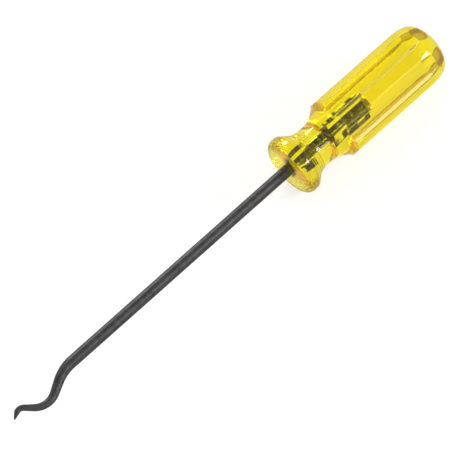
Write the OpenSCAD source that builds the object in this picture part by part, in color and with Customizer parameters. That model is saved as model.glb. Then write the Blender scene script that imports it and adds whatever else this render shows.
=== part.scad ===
// Hooked pick with a clear fluted handle.
// The tool lies on its handle. The rod runs along -X from the collar, and Z = 0 is the table.
// Lengths along the tool are counted from the flat front face of the collar.

/* [Handle] */
// Length of the handle from the collar face to the rear end
handle_len = 78.5; // [76:0.5:100]
// Diameter of the grip over its lands
grip_d = 26.5; // [25:0.1:32]
// Diameter of the neck at its narrowest
neck_d = 17.1; // [15:0.1:19]
// Length of the straight neck between the ringed hollow and the flared shoulder
neck_len = 3.2; // [1:0.1:6]
// Radius of the hollow flare between the neck and the grip
flare_r = 14.8; // [13:0.1:20]
// Slope of the flare where it leaves the neck, in degrees
flare_entry = 11; // [4:1:20]

/* [Collar] */
// Diameter of the collar over its rim
collar_d = 25.3; // [23:0.1:28]
// Radius of the rounded front edge of the collar
collar_edge_r = 2.7; // [1:0.1:4]
// Width of the straight rim
rim_w = 1; // [0.5:0.1:2]
// Radius of the round behind the rim
collar_back_r = 3.5; // [2:0.1:4]
// Slope of the cone behind the collar, in degrees
collar_slope = 40; // [35:1:50]

/* [Neck rings] */
// Number of turned grooves round the neck
ring_count = 5; // [3:1:6]
// Distance from the collar face to the first groove
ring_first = 6.1; // [5.8:0.1:7]
// Spacing of the grooves
ring_pitch = 1.18; // [0.9:0.02:1.3]
// Depth of a groove
ring_depth = 0.2; // [0.1:0.05:0.4]
// Width of a groove
ring_w = 0.5; // [0.3:0.05:0.8]
// Diameter of the seat where the cone ends and the ringed hollow begins
seat_d = 19.5; // [19.2:0.1:21]
// Slope of the ringed hollow at that seat, in degrees
seat_slope = 25; // [18:1:30]

/* [Flutes] */
// Number of flutes round the grip
flute_count = 6; // [5:1:7]
// Depth of a flute below the lands, at its middle
flute_depth = 1.2; // [0.8:0.05:1.8]
// Width of the flat floor of a flute
flute_floor_w = 5.6; // [4:0.1:7]
// Slope of a flute's side walls, in degrees from upright
flute_wall = 72; // [50:1:76]
// Slope of the ramp that carries a flute's floor over the rear end, in degrees
ramp_slope = 26; // [18:1:34]
// Distance from the rear end at which that ramp starts
ramp_back = 7.8; // [6:0.1:12]

/* [Rear end] */
// Radius of the long lead into the domed end
lead_r = 28.8; // [20:0.2:40]
// Angle turned by that lead, in degrees
lead_angle = 16; // [8:1:22]
// Radius of the domed end's corner
dome_corner_r = 6.7; // [4:0.1:8]
// Angle from the grip's side at which the corner meets the end cap
cap_angle = 58; // [50:1:66]

/* [Rod] */
// Diameter of the rod
rod_d = 4.76; // [4:0.01:6.4]
// Reach of the rod from the collar face to the first bend's corner
rod_reach = 121; // [100:0.5:180]
// Length of the tang inside the handle
tang_len = 38.6; // [36:0.2:50]
// Depth of the drilled hole past the end of the tang
drill_room = 2; // [0.2:0.1:3]
// Radial clearance of the tang in its hole
tang_gap = 0.01; // [0.005:0.005:0.05]

/* [Tang wings] */
// Distance from the axis to the edge of a wing
wing_reach = 4.2; // [3.6:0.1:5.5]
// Thickness of a wing
wing_t = 1.6; // [1:0.1:3]
// Distance from the collar face to the pair of wings under the collar
collar_wing_x = 1.3; // [1:0.1:5]
// Length of those wings along the tang
collar_wing_len = 5.9; // [3:0.1:8]
// Length of the pair of wings at the tang's end
tail_wing_len = 17; // [8:0.2:22]
// Angle of the wings about the rod, in degrees from level
wing_roll = 75; // [0:5:90]

/* [Hooked tip] */
// Angle of the bend plane below level, in degrees
bend_roll = 30; // [0:5:90]
// Angle of the first leg off the rod's axis, in degrees
leg1_angle = 28; // [20:1:35]
// Length of the first leg between its corners
leg1_len = 15.8; // [14:0.1:22]
// Angle of the second leg back towards the axis, in degrees
leg2_angle = 40; // [30:1:45]
// Length of the second leg between its corners
leg2_len = 12.2; // [11:0.1:18]
// Angle of the hook away from the axis again, in degrees
hook_angle = 29; // [15:1:40]
// Length of the hook from its corner to the point
hook_len = 5; // [4:0.1:8]
// Bend radius of the first corner
bend1_r = 19; // [14:0.5:24]
// Bend radius of the second corner
bend2_r = 9; // [6:0.5:10]
// Bend radius of the hook's corner
bend3_r = 2.8; // [2:0.1:3.5]
// Diameter of the taper where it reaches the hook
hook_d = 2.2; // [1.6:0.1:3]
// Diameter of the blunted point
point_d = 0.7; // [0.4:0.1:1.2]

/* [Hidden] */
$fn = 96;
// Overrun of a cutting shape past the surface it cuts
overrun = 0.5;
// Overrun of a flute's cut past the lands, enough to clear the dome above the ramp
flute_overrun = 2;
// Step in from the rod's skin where the tip's sweep starts inside the rod
sweep_sink = 0.01;
arc_steps = 10;
sweep_sides = 24;
bend_steps = 9;

grip_r = grip_d / 2;
neck_r = neck_d / 2;
collar_r = collar_d / 2;
seat_r = seat_d / 2;
rod_r = rod_d / 2;

// Stations of the collar and the neck along the axis
back_x = collar_edge_r + rim_w;
cone_x = back_x + collar_back_r * sin(collar_slope);
cone_r = collar_r - collar_back_r * (1 - cos(collar_slope));
seat_x = cone_x + (cone_r - seat_r) / tan(collar_slope);
hollow_r = (seat_r - neck_r) / (1 - cos(seat_slope));
hollow_x = seat_x + hollow_r * sin(seat_slope);
neck_end = hollow_x + neck_len;
flare_exit = acos(cos(flare_entry) - (grip_r - neck_r) / flare_r);
flare_cx = neck_end - flare_r * sin(flare_entry);
flare_cr = neck_r + flare_r * cos(flare_entry);
shoulder_x = flare_cx + flare_r * sin(flare_exit);

// Stations of the domed rear end, from the grip backwards
lead_drop = lead_r * (1 - cos(lead_angle));
corner_drop = dome_corner_r * (cos(lead_angle) - cos(cap_angle));
cap_edge_r = grip_r - lead_drop - corner_drop;
cap_r = cap_edge_r / cos(cap_angle);
cap_h = cap_r * (1 - sin(cap_angle));
corner_len = dome_corner_r * (sin(cap_angle) - sin(lead_angle));
lead_len = lead_r * sin(lead_angle);
lead_x = handle_len - cap_h - corner_len - lead_len;
corner_cx = lead_x + (lead_r - dome_corner_r) * sin(lead_angle);
corner_cr = grip_r - lead_r + (lead_r - dome_corner_r) * cos(lead_angle);

// Flute section: a flat floor between two sloping walls
flute_floor_r = grip_r - flute_depth;
flute_cut_h = flute_depth + flute_overrun;
flute_run = flute_cut_h * tan(flute_wall);
flute_mouth_w = flute_floor_w + 2 * flute_run;
ramp_x = handle_len - ramp_back;

// Corner points of the bent tip as [distance along the axis, offset in the bend plane]
corner1 = [rod_reach, 0];
corner2 = corner1 + leg1_len * [cos(leg1_angle), sin(leg1_angle)];
corner3 = corner2 + leg2_len * [cos(leg2_angle), -sin(leg2_angle)];
tip_point = corner3 + hook_len * [cos(hook_angle), sin(hook_angle)];
bend1_tan = bend1_r * tan(leg1_angle / 2);
straight_len = rod_reach - bend1_tan;

// Height of the two land edges beside a flute that faces down, where the wall meets the round
wall_t = tan(flute_wall);
edge_b = flute_floor_w / 2 * wall_t + flute_floor_r;
edge_c = (flute_floor_w / 2) ^ 2 + flute_floor_r ^ 2 - grip_r ^ 2;
edge_rise = (sqrt(edge_b ^ 2 - (1 + wall_t ^ 2) * edge_c) - edge_b) / (1 + wall_t ^ 2);
land_edge_r = flute_floor_r + edge_rise;

// The tool rests on its collar and two lands, with its box centred on X
axis_z = max(collar_r, land_edge_r);
tip_reach = tip_point[0] + point_d / 2 * sin(hook_angle);
mid_x = (handle_len - tip_reach) / 2;

// Points of an arc about a centre, from one angle to another, without its last point
function arc(centre, radius, from, to) = [
    for (i = [0 : arc_steps - 1])
        let (a = from + (to - from) * i / arc_steps)
        centre + radius * [cos(a), sin(a)]
];

// Half outline of the handle as [distance from the collar face, radius]
function handle_outline() = concat(
    [[0, 0]],
    arc([collar_edge_r, collar_r - collar_edge_r], collar_edge_r, 180, 90),
    [[collar_edge_r, collar_r]],
    arc([back_x, collar_r - collar_back_r], collar_back_r, 90, 90 - collar_slope),
    [[cone_x, cone_r]],
    arc([hollow_x, neck_r + hollow_r], hollow_r, 270 - seat_slope, 270),
    [[hollow_x, neck_r]],
    arc([flare_cx, flare_cr], flare_r, 270 + flare_entry, 270 + flare_exit),
    [[shoulder_x, grip_r]],
    arc([lead_x, grip_r - lead_r], lead_r, 90, 90 - lead_angle),
    arc([corner_cx, corner_cr], dome_corner_r, 90 - lead_angle, 90 - cap_angle),
    arc([handle_len - cap_r, 0], cap_r, 90 - cap_angle, 0),
    [[handle_len, 0]]
);

// Radius of the ringed part of the neck at a distance from the collar face
function ringed_radius(x) =
    x < seat_x ? seat_r + (seat_x - x) * tan(collar_slope)
    : x < hollow_x ? neck_r + hollow_r - sqrt(hollow_r ^ 2 - (hollow_x - x) ^ 2)
    : neck_r;

// Direction of a stretch of the tip's path, and the points of a rounded corner
function unit(v) = v / norm(v);
function round_corner(a, b, c, r) =
    let (
        u = unit(b - a),
        v = unit(c - b),
        turn = acos(u * v),
        side = sign(u[0] * v[1] - u[1] * v[0]),
        start = b - u * r * tan(turn / 2),
        centre = start + side * r * [-u[1], u[0]]
    )
    [for (i = [0 : bend_steps])
        let (a = atan2(u[1], u[0]) - side * 90 + side * turn * i / bend_steps)
        centre + r * [cos(a), sin(a)]];

// Centre line of the tapered tip, from just inside the straight rod to the point
tip_path = concat(
    [[straight_len - overrun, 0]],
    round_corner([0, 0], corner1, corner2, bend1_r),
    round_corner(corner1, corner2, corner3, bend2_r),
    round_corner(corner2, corner3, tip_point, bend3_r),
    [tip_point]
);
tip_last = len(tip_path) - 1;
hook_first = tip_last - 1;
function path_length(i) = i == 0 ? 0 : path_length(i - 1) + norm(tip_path[i] - tip_path[i - 1]);
taper_len = path_length(hook_first);
function tip_radius(i) =
    i > hook_first ? point_d / 2
    : (rod_d + (hook_d - rod_d) * path_length(i) / taper_len) / 2;
function path_dir(i) =
    unit(tip_path[min(i + 1, tip_last)] - tip_path[max(i - 1, 0)]);

module along_x() {
    rotate([0, 90, 0]) children();
}

module placed() {
    translate([-mid_x, 0, axis_z]) children();
}

module handle_blank() {
    along_x() rotate_extrude() polygon([for (p = handle_outline()) [p[1], p[0]]]);
}

module ring_groove(x) {
    r = ringed_radius(x);
    along_x() rotate_extrude() polygon([
        [r - ring_depth, x],
        [r, x + ring_w / 2],
        [r + overrun, x + ring_w / 2],
        [r + overrun, x - ring_w / 2],
        [r, x - ring_w / 2]
    ]);
}

module flute_section() {
    polygon([
        [-flute_floor_w / 2, 0],
        [flute_floor_w / 2, 0],
        [flute_mouth_w / 2, flute_cut_h],
        [-flute_mouth_w / 2, flute_cut_h]
    ]);
}

// One flute on top of the grip: a straight run, then a ramp over the rear end
module flute() {
    translate([neck_end, 0, flute_floor_r])
        rotate([90, 0, 90]) linear_extrude(handle_len - neck_end) flute_section();
    translate([ramp_x, 0, flute_floor_r]) rotate([0, ramp_slope, 0])
        rotate([90, 0, 90]) linear_extrude(handle_len - ramp_x) flute_section();
}

// Pairs of wings swaged out of the tang, grown by a gap for their pockets
module tang_wings(gap) {
    wing_pair(collar_wing_x, collar_wing_len, gap);
    wing_pair(tang_len - tail_wing_len, tail_wing_len, gap);
}

module wing_pair(x, length, gap) {
    rotate([wing_roll, 0, 0]) intersection() {
        translate([x - gap, -wing_reach - overrun, -wing_t / 2 - gap])
            cube([length + 2 * gap, 2 * (wing_reach + overrun), wing_t + 2 * gap]);
        along_x() cylinder(r = wing_reach + gap, h = handle_len);
    }
}

module tang_hole() {
    along_x() translate([0, 0, -overrun])
        cylinder(r = rod_r + tang_gap, h = tang_len + drill_room + overrun);
    tang_wings(tang_gap);
}

// Tapered sweep along the tip's centre line
module tip_sweep() {
    points = [
        for (i = [0 : tip_last], k = [0 : sweep_sides - 1])
            let (
                a = 360 * k / sweep_sides,
                dir = path_dir(i),
                r = tip_radius(i) - (i == 0 ? sweep_sink : 0),
                p = tip_path[i] + r * cos(a) * [-dir[1], dir[0]]
            )
            [p[0], p[1], r * sin(a)]
    ];
    sides = [
        for (i = [0 : tip_last - 1], k = [0 : sweep_sides - 1])
            let (n = (k + 1) % sweep_sides, a = i * sweep_sides, b = a + sweep_sides)
            [a + k, b + k, b + n, a + n]
    ];
    ends = [
        [for (k = [0 : sweep_sides - 1]) k],
        [for (k = [sweep_sides - 1 : -1 : 0]) tip_last * sweep_sides + k]
    ];
    polyhedron(points = points, faces = concat(sides, ends));
}

module handle() {
    color([0.96, 0.85, 0.1, 0.6]) placed() difference() {
        handle_blank();
        for (i = [0 : ring_count - 1]) ring_groove(ring_first + i * ring_pitch);
        for (i = [0 : flute_count - 1]) rotate([180 + 360 * i / flute_count, 0, 0]) flute();
        tang_hole();
    }
}

module pick_rod() {
    color([0.2, 0.2, 0.21]) placed() {
        along_x() translate([0, 0, -straight_len]) cylinder(r = rod_r, h = straight_len + tang_len);
        tang_wings(0);
        rotate([180 + bend_roll, 0, 0]) mirror([1, 0, 0]) tip_sweep();
    }
}

handle();
pick_rod();
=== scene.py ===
import math

import bmesh
import bpy
from mathutils import Matrix, Vector


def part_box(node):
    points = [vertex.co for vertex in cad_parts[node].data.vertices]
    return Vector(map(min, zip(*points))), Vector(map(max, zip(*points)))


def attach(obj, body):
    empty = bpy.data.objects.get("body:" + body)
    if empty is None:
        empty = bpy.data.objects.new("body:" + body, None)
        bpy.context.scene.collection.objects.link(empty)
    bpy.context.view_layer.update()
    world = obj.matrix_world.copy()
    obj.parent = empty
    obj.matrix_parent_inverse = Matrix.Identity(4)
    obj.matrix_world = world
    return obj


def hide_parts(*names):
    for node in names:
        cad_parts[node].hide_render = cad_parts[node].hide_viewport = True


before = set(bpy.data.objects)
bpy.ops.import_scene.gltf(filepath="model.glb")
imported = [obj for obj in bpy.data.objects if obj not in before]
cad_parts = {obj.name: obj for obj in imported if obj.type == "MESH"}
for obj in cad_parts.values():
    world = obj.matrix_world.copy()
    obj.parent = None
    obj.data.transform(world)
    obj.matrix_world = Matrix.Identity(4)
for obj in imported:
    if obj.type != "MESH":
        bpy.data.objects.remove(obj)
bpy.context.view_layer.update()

MM = 0.001

# Handle sizes in millimetres, counted from the flat front face of the collar
HANDLE_LEN = 78.5
GRIP_R = 13.25
NECK_R = 8.55
NECK_LEN = 3.2
FLARE_R = 14.8
FLARE_ENTRY = math.radians(11)
COLLAR_R = 12.65
COLLAR_EDGE_R = 2.7
RIM_W = 1.0
COLLAR_BACK_R = 3.5
COLLAR_SLOPE = math.radians(40)
RING_COUNT = 5
RING_FIRST = 6.1
RING_PITCH = 1.18
RING_DEPTH = 0.2
RING_W = 0.5
SEAT_R = 9.75
SEAT_SLOPE = math.radians(25)
FLUTE_COUNT = 6
FLUTE_DEPTH = 1.2
FLUTE_FLOOR_W = 5.6
FLUTE_WALL = math.radians(72)
RAMP_SLOPE = math.radians(26)
RAMP_BACK = 7.8
LEAD_R = 28.8
LEAD_ANGLE = math.radians(16)
DOME_CORNER_R = 6.7
CAP_ANGLE = math.radians(58)

# Softness of the polished edges and of the hollow corners of the flutes
EDGE_SOFT = 0.04
HOLLOW_SOFT = 0.02

# Fineness of the skins: columns round each section, steps of the handle's arcs and of the tip's bends and
# legs, and the angle between faces that shows as an edge
HANDLE_COLUMNS = 240
ROD_COLUMNS = 72
COLLAR_EDGE_STEPS = 18
COLLAR_BACK_STEPS = 12
FLARE_STEPS = 56
LEAD_STEPS = 36
CORNER_STEPS = 36
CAP_STEPS = 24
BEND_STEPS = (24, 30, 20)
LEG_STEPS = 8
HOOK_STEPS = 10
SHARP_ANGLE = math.radians(34)
WELD = 1e-8

# Rod sizes in millimetres
ROD_R = 2.38
ROD_REACH = 121.0
TANG_LEN = 38.6
DRILL_ROOM = 2.0
TANG_GAP = 0.01
WING_REACH = 4.2
WING_T = 1.6
WING_ROLL = 75
COLLAR_WING_X = 1.3
COLLAR_WING_LEN = 5.9
TAIL_WING_LEN = 17.0
# Stretches of a wing that the plastic grips without an air film: start, end, the wing's side, and how
# far the grip goes in from the wing's edge
GRIPPED = [
    (1.0, 7.5, 0, 0.3),
    (1.0, 7.5, 1, 0.3),
    (3.8, 6.6, 1, 3.0),
    (24.1, 27.4, 0, 0.3),
    (33.4, 36.5, 0, 0.3),
    (21.0, 39.0, 1, 0.25),
    (27.6, 32.2, 1, 3.0),
    (35.9, 39.0, 1, 3.0),
]
# Stretches of the tang that are gripped all round, and the length of the hole's plain mouth
GRIPPED_ROUND = [(0.0, 4.6), (19.6, 22.4)]
HOLE_MOUTH = 0.4
# A grip deeper than this on a wing goes on over the round beside it, as far as this cosine of the angle
DEEP_GRIP = 1.0
GRIPPED_ROUND_COS = 0.25
GRIP_SINK = 0.02
BEND_ROLL = 30
LEG1_ANGLE = math.radians(28)
LEG1_LEN = 15.8
LEG2_ANGLE = math.radians(40)
LEG2_LEN = 12.2
HOOK_ANGLE = math.radians(29)
HOOK_LEN = 5.0
BEND1_R = 19.0
BEND2_R = 9.0
BEND3_R = 2.8
HOOK_R = 1.1
POINT_R = 0.35

# The plastic: refraction, its least and most roughness where it is polished, on the sawn collar face and
# where it is milled or drilled, and the depth over which the face's haze ends
PLASTIC_IOR = 1.48
POLISHED = (0.012, 0.045)
SAWN = (0.24, 0.36)
MACHINED = (0.17, 0.27)
SAWN_DEPTH = (0.15, 0.6)
# Least depth of a ramp that is marked, the pitch of the tool's marks and their dark and pale colours,
# which are real tool marks darkened with painted shade
RAMP_MARK_DEPTH = 0.06
MARK_PITCH = 0.9
MARK_SHADED_DARK = (0.2, 0.165, 0.11, 1.0)
MARK_SHADED_PALE = (0.62, 0.55, 0.42, 1.0)
CLEAR = (1.0, 1.0, 1.0, 1.0)
# The dye: how fast it takes light away and in which colour; then a painted glow for each metre of depth,
# light painted into the plastic that lifts its dark parts
DYE_DENSITY = 240.0
DYE_COLOUR = (0.9895, 0.9595, 0.0, 1.0)
PAINTED_GLOW = 4.0
PAINTED_GLOW_COLOUR = (0.9, 0.72, 0.03, 1.0)
# The steel: its share of metal, its colours outside, its greys on the swaged tang and its roughness
STEEL_METALLIC = 0.8
STEEL_DARK = (0.06, 0.058, 0.059, 1.0)
STEEL_PALE = (0.1, 0.097, 0.099, 1.0)
SWAGED = (0.004, 0.05, 0.3)
STEEL_ROUGH = (0.42, 0.56)
# A wave texture of scale 1 repeats after this length in metres
WAVE_TURN = math.pi / 10

# The tool's axis in the frame
handle_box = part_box("handle")
AXIS_Z = (handle_box[0][2] + handle_box[1][2]) / 2 / MM
FACE_X = handle_box[0][0] / MM


def smooth_min(a, b, k):
    h = max(k - abs(a - b), 0.0) / k
    return min(a, b) - h * h * k / 4


def smooth_max(a, b, k):
    return -smooth_min(-a, -b, k)


def arc(cx, cr, radius, start, end, steps):
    """Points of an arc in the half outline, in degrees, without its last point."""
    pts = []
    for i in range(steps):
        a = math.radians(start + (end - start) * i / steps)
        pts.append((cx + radius * math.cos(a), cr + radius * math.sin(a)))
    return pts


# Stations of the handle's outline
back_x = COLLAR_EDGE_R + RIM_W
cone_x = back_x + COLLAR_BACK_R * math.sin(COLLAR_SLOPE)
cone_r = COLLAR_R - COLLAR_BACK_R * (1 - math.cos(COLLAR_SLOPE))
seat_x = cone_x + (cone_r - SEAT_R) / math.tan(COLLAR_SLOPE)
hollow_r = (SEAT_R - NECK_R) / (1 - math.cos(SEAT_SLOPE))
hollow_x = seat_x + hollow_r * math.sin(SEAT_SLOPE)
neck_end = hollow_x + NECK_LEN
flare_exit = math.acos(math.cos(FLARE_ENTRY) - (GRIP_R - NECK_R) / FLARE_R)
flare_cx = neck_end - FLARE_R * math.sin(FLARE_ENTRY)
flare_cr = NECK_R + FLARE_R * math.cos(FLARE_ENTRY)
shoulder_x = flare_cx + FLARE_R * math.sin(flare_exit)
cap_edge_r = (
    GRIP_R
    - LEAD_R * (1 - math.cos(LEAD_ANGLE))
    - DOME_CORNER_R * (math.cos(LEAD_ANGLE) - math.cos(CAP_ANGLE))
)
cap_r = cap_edge_r / math.cos(CAP_ANGLE)
cap_h = cap_r * (1 - math.sin(CAP_ANGLE))
corner_len = DOME_CORNER_R * (math.sin(CAP_ANGLE) - math.sin(LEAD_ANGLE))
lead_len = LEAD_R * math.sin(LEAD_ANGLE)
lead_x = HANDLE_LEN - cap_h - corner_len - lead_len
corner_cx = lead_x + (LEAD_R - DOME_CORNER_R) * math.sin(LEAD_ANGLE)
corner_cr = GRIP_R - LEAD_R + (LEAD_R - DOME_CORNER_R) * math.cos(LEAD_ANGLE)
ramp_x = HANDLE_LEN - RAMP_BACK


def ringed_radius(x):
    if x < seat_x:
        return SEAT_R + (seat_x - x) * math.tan(COLLAR_SLOPE)
    if x < hollow_x:
        return NECK_R + hollow_r - math.sqrt(hollow_r ** 2 - (hollow_x - x) ** 2)
    return NECK_R


def ring_cut(x):
    """Depth of the turned grooves at a station."""
    for i in range(RING_COUNT):
        u = abs(x - RING_FIRST - i * RING_PITCH) / (RING_W / 2)
        if u < 1:
            return RING_DEPTH * (1 + math.cos(math.pi * u)) / 2
    return 0.0


def handle_outline():
    """Half outline of the handle's skin from the hole's rim to the rear pole."""
    pts = []
    rim_r = ROD_R + TANG_GAP
    face_r = COLLAR_R - COLLAR_EDGE_R
    face_rows = 6
    for i in range(face_rows):
        pts.append((0.0, rim_r + (face_r - rim_r) * i / face_rows))
    pts += arc(COLLAR_EDGE_R, face_r, COLLAR_EDGE_R, 180, 90, COLLAR_EDGE_STEPS)
    rim_rows = 3
    for i in range(rim_rows):
        pts.append((COLLAR_EDGE_R + RIM_W * i / rim_rows, COLLAR_R))
    slope = math.degrees(COLLAR_SLOPE)
    pts += arc(back_x, COLLAR_R - COLLAR_BACK_R, COLLAR_BACK_R, 90, 90 - slope, COLLAR_BACK_STEPS)
    ring_step = 0.07
    rows = int((hollow_x - cone_x) / ring_step)
    for i in range(rows):
        x = cone_x + (hollow_x - cone_x) * i / rows
        pts.append((x, ringed_radius(x) - ring_cut(x)))
    neck_rows = 6
    for i in range(neck_rows):
        pts.append((hollow_x + NECK_LEN * i / neck_rows, NECK_R))
    entry = 270 + math.degrees(FLARE_ENTRY)
    leave = 270 + math.degrees(flare_exit)
    pts += arc(flare_cx, flare_cr, FLARE_R, entry, leave, FLARE_STEPS)
    grip_rows = 30
    for i in range(grip_rows):
        pts.append((shoulder_x + (lead_x - shoulder_x) * (i / grip_rows) ** 2, GRIP_R))
    lead = math.degrees(LEAD_ANGLE)
    cap = math.degrees(CAP_ANGLE)
    pts += arc(lead_x, GRIP_R - LEAD_R, LEAD_R, 90, 90 - lead, LEAD_STEPS)
    pts += arc(corner_cx, corner_cr, DOME_CORNER_R, 90 - lead, 90 - cap, CORNER_STEPS)
    pts += arc(HANDLE_LEN - cap_r, 0.0, cap_r, 90 - cap, 0, CAP_STEPS)
    return pts


def flute_limit(x, a):
    """Radius of the nearest flute's floor or wall at a station and an angle."""
    pitch = 2 * math.pi / FLUTE_COUNT
    phi = (a - math.pi / 2 + pitch / 2) % pitch - pitch / 2
    floor = GRIP_R - FLUTE_DEPTH
    if x > ramp_x:
        floor -= (x - ramp_x) * math.tan(RAMP_SLOPE)
    wall_t = math.tan(FLUTE_WALL)
    r_floor = floor / math.cos(phi)
    r_wall = (floor - FLUTE_FLOOR_W / 2 / wall_t) / (math.cos(phi) - abs(math.sin(phi)) / wall_t)
    return smooth_max(r_floor, r_wall, HOLLOW_SOFT)


def wing_spans():
    """Stretches of the tang that carry a pair of wings."""
    return [(COLLAR_WING_X, COLLAR_WING_X + COLLAR_WING_LEN), (TANG_LEN - TAIL_WING_LEN, TANG_LEN)]


def wing_radius(a, gap, grips):
    """Radius of the tang's section at an angle, with a gap, and a depth of grip on each wing or none."""
    r = ROD_R + gap
    for side, grip in enumerate(grips):
        d = a - math.radians(WING_ROLL + 180 * side)
        if grip > DEEP_GRIP and math.cos(d) > GRIPPED_ROUND_COS:
            r = ROD_R - GRIP_SINK
        if math.cos(d) > 0:
            slope = max(abs(math.sin(d)), 1e-9)
            wing = min(WING_REACH + gap, (WING_T / 2 + gap) / slope)
            if wing > WING_REACH - grip:
                wing = min(WING_REACH - GRIP_SINK, (WING_T / 2 - GRIP_SINK) / slope)
            r = max(r, wing)
    return r


def tang_ring(x, angles, gap, grips):
    """One section of the tang, or of its hole, as points of the frame."""
    row = []
    for a in angles:
        r = wing_radius(a, gap, grips)
        row.append(at(x, r * math.cos(a), r * math.sin(a)))
    return row


def section_angles(count, extra):
    """Angles round a section, even ones and those of its edges, sorted."""
    values = [360.0 * i / count for i in range(count)]
    for e in extra:
        e %= 360
        values = [v for v in values if abs(v - e) > 90.0 / count]
        values.append(e)
    return [math.radians(v) for v in sorted(values)]


def wing_edge_angles():
    """Angles of the corners and the roots of the wings on both sides."""
    corner = math.degrees(math.asin(WING_T / 2 / WING_REACH))
    root = math.degrees(math.asin(WING_T / 2 / ROD_R))
    out = []
    for side in (0, 180):
        for d in (-root, -corner, corner, root):
            out.append(WING_ROLL + side + d)
    return out


def skin_mesh(name, rows, first_pole, last_pole):
    """Closed mesh from rings of points, with a pole at each end, faces outward."""
    n = len(rows[0])
    verts = [first_pole]
    for row in rows:
        verts += row
    verts.append(last_pole)
    last = len(verts) - 1
    faces = []
    for k in range(n):
        j = (k + 1) % n
        faces.append((0, 1 + j, 1 + k))
        end = 1 + (len(rows) - 1) * n
        faces.append((last, end + k, end + j))
    for i in range(len(rows) - 1):
        a = 1 + i * n
        b = a + n
        for k in range(n):
            j = (k + 1) % n
            faces.append((a + k, a + j, b + j, b + k))
    mesh = bpy.data.meshes.new(name)
    mesh.from_pydata([tuple(v) for v in verts], [], faces)
    bm = bmesh.new()
    bm.from_mesh(mesh)
    bmesh.ops.remove_doubles(bm, verts=bm.verts, dist=WELD)
    bm.to_mesh(mesh)
    bm.free()
    volume = 0.0
    for f in mesh.polygons:
        p = [mesh.vertices[v].co for v in f.vertices]
        for i in range(1, len(p) - 1):
            volume += p[0].dot(p[i].cross(p[i + 1]))
    if volume < 0:
        mesh.flip_normals()
    mesh.shade_smooth()
    mesh.set_sharp_from_angle(angle=SHARP_ANGLE)
    return mesh


def at(x, y, z):
    """A point of the tool, from millimetres along and about its axis to the frame."""
    return Vector(((FACE_X + x) * MM, y * MM, (AXIS_Z + z) * MM))


def new_piece(name, mesh, node):
    piece = bpy.data.objects.new(name, mesh)
    bpy.context.scene.collection.objects.link(piece)
    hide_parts(node)
    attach(piece, "root")
    return piece


def hole_rows(angles, hole_end):
    """Rings of the tang's hole, from its blind end to the plain mouth under the collar face."""
    cuts = {hole_end, HOLE_MOUTH}
    for stretch in GRIPPED_ROUND:
        cuts.update(x for x in stretch if x > HOLE_MOUTH)
    spans = [(start - TANG_GAP, end + TANG_GAP) for start, end in wing_spans()]
    for start, end in spans:
        cuts.update((start, end))
        for g0, g1, _, _ in GRIPPED:
            cuts.update(x for x in (g0, g1) if start < x < end)
    cuts = sorted(cuts, reverse=True)
    rows = []
    for x1, x0 in zip(cuts, cuts[1:]):
        mid = (x0 + x1) / 2
        grips = []
        if any(start < mid < end for start, end in spans):
            grips = [-1.0, -1.0]
            for g0, g1, side, grip in GRIPPED:
                if g0 < mid < g1:
                    grips[side] = max(grips[side], grip)
        gap = -GRIP_SINK if any(g0 < mid < g1 for g0, g1 in GRIPPED_ROUND) else TANG_GAP
        rows.append(tang_ring(x1, angles, gap, grips))
        rows.append(tang_ring(x0, angles, gap, grips))
    return rows


def flute_edge_angles():
    """Angles of the floor's corners and of the land's edges on both sides of each flute, in degrees."""
    floor = GRIP_R - FLUTE_DEPTH
    corner = math.degrees(math.atan2(FLUTE_FLOOR_W / 2, floor))
    lean = math.pi / 2 - FLUTE_WALL
    reach = math.asin((floor * math.cos(lean) - FLUTE_FLOOR_W / 2 * math.sin(lean)) / GRIP_R)
    land = 90 - math.degrees(lean + reach)
    out = []
    for i in range(FLUTE_COUNT):
        for d in (-land, -corner, corner, land):
            out.append(90 + 360 * i / FLUTE_COUNT + d)
    return out


def dome_radius(x):
    """Radius of the rear end at a station, before the flutes are cut."""
    if x < lead_x + lead_len:
        return GRIP_R - LEAD_R + math.sqrt(LEAD_R ** 2 - (x - lead_x) ** 2)
    if x < HANDLE_LEN - cap_h:
        return corner_cr + math.sqrt(DOME_CORNER_R ** 2 - (x - corner_cx) ** 2)
    return math.sqrt(max(cap_r ** 2 - (x - HANDLE_LEN + cap_r) ** 2, 0.0))


def mark_machined(mesh):
    """Mark the milled ramps at the flutes' rear ends and the drilled end of the hole for the material."""
    marks = mesh.attributes.new("machined", "FLOAT", "POINT")
    for v, mark in zip(mesh.vertices, marks.data):
        x = v.co.x / MM - FACE_X
        r = math.hypot(v.co.y / MM, v.co.z / MM - AXIS_Z)
        milled = x > ramp_x and r < dome_radius(x) - RAMP_MARK_DEPTH
        drilled = x > TANG_LEN + TANG_GAP / 2 and r < ROD_R + 2 * TANG_GAP
        mark.value = 1.0 if milled or drilled else 0.0


def build_handle():
    angles = section_angles(HANDLE_COLUMNS, wing_edge_angles() + flute_edge_angles())
    hole_end = TANG_LEN + DRILL_ROOM
    rows = hole_rows(angles, hole_end)
    for x, r0 in handle_outline():
        row = []
        for a in angles:
            r = smooth_min(r0, flute_limit(x, a), EDGE_SOFT) if x > neck_end else r0
            row.append(at(x, r * math.cos(a), r * math.sin(a)))
        rows.append(row)
    mesh = skin_mesh("handle_skin", rows, at(hole_end, 0, 0), at(HANDLE_LEN, 0, 0))
    mark_machined(mesh)
    return mesh


def round_corner(a, b, c, r, steps):
    """Points and directions of a rounded corner of the rod's centre line."""
    u = (b - a).normalized()
    v = (c - b).normalized()
    turn = u.angle(v)
    side = 1.0 if u.x * v.y - u.y * v.x > 0 else -1.0
    start = b - u * r * math.tan(turn / 2)
    centre = start + Vector((-u.y, u.x)) * side * r
    first = math.atan2(u.y, u.x)
    out = []
    for i in range(steps + 1):
        d = first + side * turn * i / steps
        heading = Vector((math.cos(d), math.sin(d)))
        out.append((centre + Vector((heading.y, -heading.x)) * side * r, heading))
    return out


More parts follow.
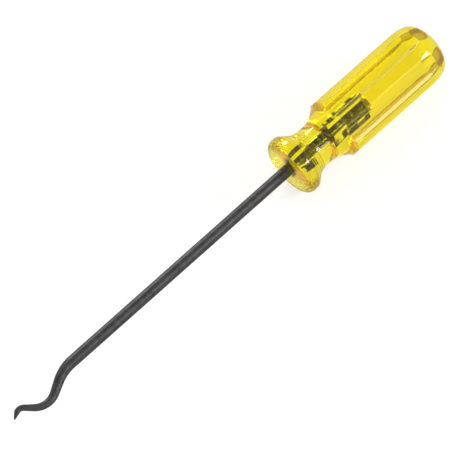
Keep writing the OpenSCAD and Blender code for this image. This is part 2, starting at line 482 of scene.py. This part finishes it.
def between(p, q, steps):
    """Points strictly between two points of the centre line, with their direction."""
    d = (q - p).normalized()
    return [(p.lerp(q, i / steps), d) for i in range(1, steps)]


def tip_line():
    """Centre line of the tapered tip in the bend plane, as points and directions."""
    c1 = Vector((ROD_REACH, 0.0))
    c2 = c1 + LEG1_LEN * Vector((math.cos(LEG1_ANGLE), math.sin(LEG1_ANGLE)))
    c3 = c2 + LEG2_LEN * Vector((math.cos(LEG2_ANGLE), -math.sin(LEG2_ANGLE)))
    end = c3 + HOOK_LEN * Vector((math.cos(HOOK_ANGLE), math.sin(HOOK_ANGLE)))
    line = round_corner(Vector((0.0, 0.0)), c1, c2, BEND1_R, BEND_STEPS[0])
    second = round_corner(c1, c2, c3, BEND2_R, BEND_STEPS[1])
    third = round_corner(c2, c3, end, BEND3_R, BEND_STEPS[2])
    for corner in (second, third):
        line += between(line[-1][0], corner[0][0], LEG_STEPS) + corner
    hook_first = len(line) - 1
    stop = end - line[-1][1] * POINT_R
    line += between(line[-1][0], stop, HOOK_STEPS) + [(stop, line[-1][1])]
    return line, hook_first


def build_rod():
    angles = section_angles(ROD_COLUMNS, wing_edge_angles())
    bend = math.radians(180 + BEND_ROLL)
    toward = Vector((0.0, math.cos(bend), math.sin(bend)))
    across = Vector((0.0, -math.sin(bend), math.cos(bend)))

    def ring(p, d, r):
        """One round section of the rod at a point of its centre line."""
        normal = Vector((d.y, 0.0, 0.0)) + toward * d.x
        centre = Vector((-p.x, 0.0, 0.0)) + toward * p.y
        row = []
        for a in angles:
            q = centre + r * (math.cos(a - bend) * normal + math.sin(a - bend) * across)
            row.append(at(q.x, q.y, q.z))
        return row

    along = Vector((1.0, 0.0))
    rows = []
    for start, end in sorted(wing_spans(), reverse=True):
        rows.append(tang_ring(end, angles, 0, ()))
        rows.append(tang_ring(end, angles, 0, (-1.0, -1.0)))
        rows.append(tang_ring(start, angles, 0, (-1.0, -1.0)))
        rows.append(tang_ring(start, angles, 0, ()))
    line, hook_first = tip_line()
    straight = line[0][0].x
    straight_rows = 40
    for i in range(straight_rows):
        rows.append(ring(Vector((straight * i / straight_rows, 0.0)), along, ROD_R))
    travelled = [0.0]
    for (p, _), (q, _) in zip(line, line[1:]):
        travelled.append(travelled[-1] + (q - p).length)
    taper = travelled[hook_first]
    for i, (p, d) in enumerate(line):
        if i <= hook_first:
            r = ROD_R + (HOOK_R - ROD_R) * travelled[i] / taper
        else:
            r = HOOK_R + (POINT_R - HOOK_R) * (travelled[i] - taper) / (travelled[-1] - taper)
        rows.append(ring(p, d, r))
    p, d = line[-1]
    cap_rows = 4
    for i in range(1, cap_rows):
        a = math.pi / 2 * i / cap_rows
        rows.append(ring(p + d * POINT_R * math.sin(a), d, POINT_R * math.cos(a)))
    tip = p + d * POINT_R
    tip_3d = Vector((-tip.x, 0.0, 0.0)) + toward * tip.y
    return skin_mesh("pick_rod_skin", rows, at(TANG_LEN, 0, 0), at(tip_3d.x, tip_3d.y, tip_3d.z))


def new_material(name):
    m = bpy.data.materials.new(name)
    m.use_nodes = True
    tree = m.node_tree
    return m, tree, tree.nodes["Principled BSDF"]


def node(tree, kind, **inputs):
    n = tree.nodes.new(kind)
    for key, value in inputs.items():
        n.inputs[key.replace("_", " ")].default_value = value
    return n


def ramp(tree, source, stops):
    r = tree.nodes.new("ShaderNodeValToRGB")
    els = r.color_ramp.elements
    while len(els) < len(stops):
        els.new(0.5)
    for el, (pos, col) in zip(els, stops):
        el.position = pos
        el.color = col
    tree.links.new(source, r.inputs["Fac"])
    return r.outputs["Color"]


def grey(v):
    return (v, v, v, 1.0)


def mix(tree, factor, a, b):
    m = tree.nodes.new("ShaderNodeMix")
    m.data_type = "RGBA"
    tree.links.new(factor, m.inputs["Factor"])
    tree.links.new(a, m.inputs["A"])
    tree.links.new(b, m.inputs["B"])
    return m.outputs["Result"]


def along_tool(tree, tc, start, end):
    """A value that goes from 0 to 1 between two distances from the collar face, in millimetres."""
    split = tree.nodes.new("ShaderNodeSeparateXYZ")
    tree.links.new(tc.outputs["Object"], split.inputs["Vector"])
    level = tree.nodes.new("ShaderNodeMapRange")
    level.inputs["From Min"].default_value = (FACE_X + start) * MM
    level.inputs["From Max"].default_value = (FACE_X + end) * MM
    tree.links.new(split.outputs["X"], level.inputs["Value"])
    return level.outputs["Result"]


def clear_yellow():
    """Polished clear yellow plastic that takes its colour with depth, with a painted glow in its volume
    and tool marks darkened with painted shade on its cut faces.
    """
    m, tree, b = new_material("clear_yellow_plastic")
    b.inputs["Transmission Weight"].default_value = 1.0
    b.inputs["IOR"].default_value = PLASTIC_IOR
    tc = tree.nodes.new("ShaderNodeTexCoord")
    polish = node(tree, "ShaderNodeTexNoise", Scale=160.0, Detail=3.0)
    tree.links.new(tc.outputs["Object"], polish.inputs["Vector"])
    noise = polish.outputs["Fac"]
    rough = ramp(tree, noise, [(0.35, grey(POLISHED[0])), (0.7, grey(POLISHED[1]))])
    hazy = ramp(tree, noise, [(0.3, grey(SAWN[0])), (0.7, grey(SAWN[1]))])
    milled = ramp(tree, noise, [(0.3, grey(MACHINED[0])), (0.7, grey(MACHINED[1]))])
    on_face = along_tool(tree, tc, SAWN_DEPTH[1], SAWN_DEPTH[0])
    on_cut = tree.nodes.new("ShaderNodeAttribute")
    on_cut.attribute_name = "machined"
    rough = mix(tree, on_cut.outputs["Fac"], mix(tree, on_face, rough, hazy), milled)
    tree.links.new(rough, b.inputs["Roughness"])
    bands = node(tree, "ShaderNodeTexWave", Scale=WAVE_TURN / (MARK_PITCH * MM), Distortion=1.5)
    tree.links.new(tc.outputs["Object"], bands.inputs["Vector"])
    # Tool marks on the milled and drilled faces, with painted shade darkening the cut faces
    marks = ramp(tree, bands.outputs["Fac"], [(0.2, MARK_SHADED_DARK), (0.8, MARK_SHADED_PALE)])
    plain = tree.nodes.new("ShaderNodeRGB")
    plain.outputs[0].default_value = CLEAR
    tree.links.new(mix(tree, on_cut.outputs["Fac"], plain.outputs[0], marks), b.inputs["Base Color"])
    wave = node(tree, "ShaderNodeTexNoise", Scale=90.0, Detail=2.0)
    tree.links.new(tc.outputs["Object"], wave.inputs["Vector"])
    bump = node(tree, "ShaderNodeBump", Strength=0.05, Distance=0.0004)
    tree.links.new(wave.outputs["Fac"], bump.inputs["Height"])
    tree.links.new(bump.outputs["Normal"], b.inputs["Normal"])
    depth = node(tree, "ShaderNodeVolumeAbsorption", Density=DYE_DENSITY)
    depth.inputs["Color"].default_value = DYE_COLOUR
    # Painted light: a yellow glow in the plastic's volume that lifts its dark parts
    painted_glow = node(tree, "ShaderNodeEmission", Strength=PAINTED_GLOW)
    painted_glow.inputs["Color"].default_value = PAINTED_GLOW_COLOUR
    both = tree.nodes.new("ShaderNodeAddShader")
    tree.links.new(depth.outputs["Volume"], both.inputs[0])
    tree.links.new(painted_glow.outputs["Emission"], both.inputs[1])
    tree.links.new(both.outputs["Shader"], tree.nodes["Material Output"].inputs["Volume"])
    return m


def black_steel():
    """Black oxide on drawn steel: dark, with fine marks along the rod and a mottled finish."""
    m, tree, b = new_material("black_steel")
    b.inputs["Metallic"].default_value = STEEL_METALLIC
    tc = tree.nodes.new("ShaderNodeTexCoord")
    stretch = tree.nodes.new("ShaderNodeMapping")
    stretch.inputs["Scale"].default_value = (60.0, 2600.0, 2600.0)
    tree.links.new(tc.outputs["Object"], stretch.inputs["Vector"])
    drawn = node(tree, "ShaderNodeTexNoise", Scale=1.0, Detail=4.0)
    tree.links.new(stretch.outputs["Vector"], drawn.inputs["Vector"])
    mottle = node(tree, "ShaderNodeTexNoise", Scale=420.0, Detail=5.0)
    tree.links.new(tc.outputs["Object"], mottle.inputs["Vector"])
    col = ramp(tree, mottle.outputs["Fac"], [(0.3, STEEL_DARK), (0.7, STEEL_PALE)])
    squeeze = tree.nodes.new("ShaderNodeMapping")
    squeeze.inputs["Scale"].default_value = (1500.0, 500.0, 500.0)
    tree.links.new(tc.outputs["Object"], squeeze.inputs["Vector"])
    scale = node(tree, "ShaderNodeTexNoise", Scale=1.0, Detail=5.0, Roughness=0.65)
    tree.links.new(squeeze.outputs["Vector"], scale.inputs["Vector"])
    stops = zip((0.4, 0.52, 0.66), [grey(v) for v in SWAGED])
    swaged = ramp(tree, scale.outputs["Fac"], list(stops))
    tree.links.new(mix(tree, along_tool(tree, tc, -0.2, 0.6), col, swaged), b.inputs["Base Color"])
    rough = ramp(tree, drawn.outputs["Fac"], [(0.3, grey(STEEL_ROUGH[0])), (0.7, grey(STEEL_ROUGH[1]))])
    tree.links.new(rough, b.inputs["Roughness"])
    bump = node(tree, "ShaderNodeBump", Strength=0.15, Distance=0.0001)
    tree.links.new(drawn.outputs["Fac"], bump.inputs["Height"])
    tree.links.new(bump.outputs["Normal"], b.inputs["Normal"])
    return m


handle = new_piece("handle_clear", build_handle(), "handle")
handle.data.materials.append(clear_yellow())
rod = new_piece("pick_rod_black", build_rod(), "pick_rod")
rod.data.materials.append(black_steel())

# Camera at the photograph's angle, by a long lens
IMAGE_PX = 450
LENS_MM = 1200.0
PX_MM = 0.3837
VIEW_TILT = 0.31
ROLL = math.radians(41.6)
VIEW_SIDE = math.radians(30)
v_perp = Vector((0.0, -math.sin(VIEW_SIDE), math.cos(VIEW_SIDE)))
tool = Vector((1.0, 0.0, 0.0))
view = -VIEW_TILT * tool + math.sqrt(1 - VIEW_TILT ** 2) * v_perp
along = math.sqrt(1 - VIEW_TILT ** 2) * tool + VIEW_TILT * v_perp
down = Vector((0.0, -math.cos(VIEW_SIDE), -math.sin(VIEW_SIDE)))
right = math.cos(ROLL) * along + math.sin(ROLL) * down
up = math.sin(ROLL) * along - math.cos(ROLL) * down
# The collar face's middle falls on this pixel
FACE_PX = (288.1, 169.8)
target = at(0, 0, 0) + PX_MM * MM * (
    (IMAGE_PX / 2 - FACE_PX[0]) * right + (FACE_PX[1] - IMAGE_PX / 2) * up
)
cam_data = bpy.data.cameras.new("camera")
cam_data.lens = LENS_MM
cam_data.sensor_width = 36.0
distance = IMAGE_PX * PX_MM * MM * cam_data.lens / cam_data.sensor_width
cam_data.clip_end = 20.0
cam = bpy.data.objects.new("camera", cam_data)
bpy.context.scene.collection.objects.link(cam)
cam_axes = Matrix((right, up, view)).transposed().to_4x4()
cam.matrix_world = Matrix.Translation(target + view * distance) @ cam_axes
bpy.context.scene.camera = cam

# Pale floor that shows white and keeps the shadow
FLOOR_HALF = 4.0
FLOOR_GREY = 0.5
FLOOR_SEEN = [("Is Camera Ray", 0.66), ("Is Glossy Ray", 0.28), ("Is Transmission Ray", 0.46)]
floor_mesh = bpy.data.meshes.new("floor")
h = FLOOR_HALF
floor_mesh.from_pydata([(-h, -h, 0), (h, -h, 0), (h, h, 0), (-h, h, 0)], [], [(0, 1, 2, 3)])
floor = bpy.data.objects.new("floor", floor_mesh)
bpy.context.scene.collection.objects.link(floor)


def strength_when_seen(tree, levels):
    """A strength for each kind of ray that shows the floor itself, and none for light it gives off."""
    path = tree.nodes.new("ShaderNodeLightPath")
    strongest = None
    for ray, level in levels:
        share = tree.nodes.new("ShaderNodeMath")
        share.operation = "MULTIPLY"
        share.inputs[1].default_value = level
        tree.links.new(path.outputs[ray], share.inputs[0])
        if strongest is None:
            strongest = share.outputs[0]
            continue
        most = tree.nodes.new("ShaderNodeMath")
        most.operation = "MAXIMUM"
        tree.links.new(strongest, most.inputs[0])
        tree.links.new(share.outputs[0], most.inputs[1])
        strongest = most.outputs[0]
    return strongest


fm, ft, fb = new_material("floor")
fb.inputs["Base Color"].default_value = grey(FLOOR_GREY)
fb.inputs["Roughness"].default_value = 1.0
fb.inputs["Specular IOR Level"].default_value = 0.0
fb.inputs["Emission Color"].default_value = grey(1.0)
ft.links.new(strength_when_seen(ft, FLOOR_SEEN), fb.inputs["Emission Strength"])
floor_mesh.materials.append(fm)

# Soft studio light: a surround that is white at the horizon and greyer above, and three soft boxes
SKY_HEIGHT = (0.1, 0.7)
SKY_STRENGTH = (1.0, 0.4)
world = bpy.data.worlds.new("studio")
bpy.context.scene.world = world
world.use_nodes = True
wt = world.node_tree
bg = wt.nodes["Background"]
bg.inputs["Color"].default_value = grey(1.0)
sky = wt.nodes.new("ShaderNodeTexCoord")
height = wt.nodes.new("ShaderNodeSeparateXYZ")
wt.links.new(sky.outputs["Generated"], height.inputs["Vector"])
fade = wt.nodes.new("ShaderNodeMapRange")
fade.inputs["From Min"].default_value, fade.inputs["From Max"].default_value = SKY_HEIGHT
fade.inputs["To Min"].default_value, fade.inputs["To Max"].default_value = SKY_STRENGTH
wt.links.new(height.outputs["Z"], fade.inputs["Value"])
wt.links.new(fade.outputs["Result"], bg.inputs["Strength"])

# Distance of the lamps, and each one's name, lean along the tool, turn about it, size and radiance
LAMP_AWAY = 0.95
LAMPS = [
    ("key", 0.31, -84, (0.4, 0.22), 10.0),
    ("fill", 0.62, 24, (0.26, 0.26), 16.0),
    ("strip", 0.31, 25.5, (0.3, 0.1), 7.0),
]


def soft_box(name, lean, turn, size, radiance):
    """Rectangular lamp that leans along the tool by a share and is turned about it from the view."""
    turn = math.radians(turn)
    across = math.cos(turn) * v_perp + math.sin(turn) * down
    toward = lean * tool + math.sqrt(1 - lean ** 2) * across
    first = (tool - toward * toward.x).normalized()
    data = bpy.data.lights.new(name, "AREA")
    data.shape = "RECTANGLE"
    data.size, data.size_y = size
    data.energy = radiance * math.pi * size[0] * size[1]
    lamp = bpy.data.objects.new(name, data)
    bpy.context.scene.collection.objects.link(lamp)
    axes = Matrix((first, toward.cross(first), toward)).transposed().to_4x4()
    lamp.matrix_world = Matrix.Translation(toward * LAMP_AWAY) @ axes


for lamp in LAMPS:
    soft_box(*lamp)

bpy.context.scene.view_settings.view_transform = "Standard"
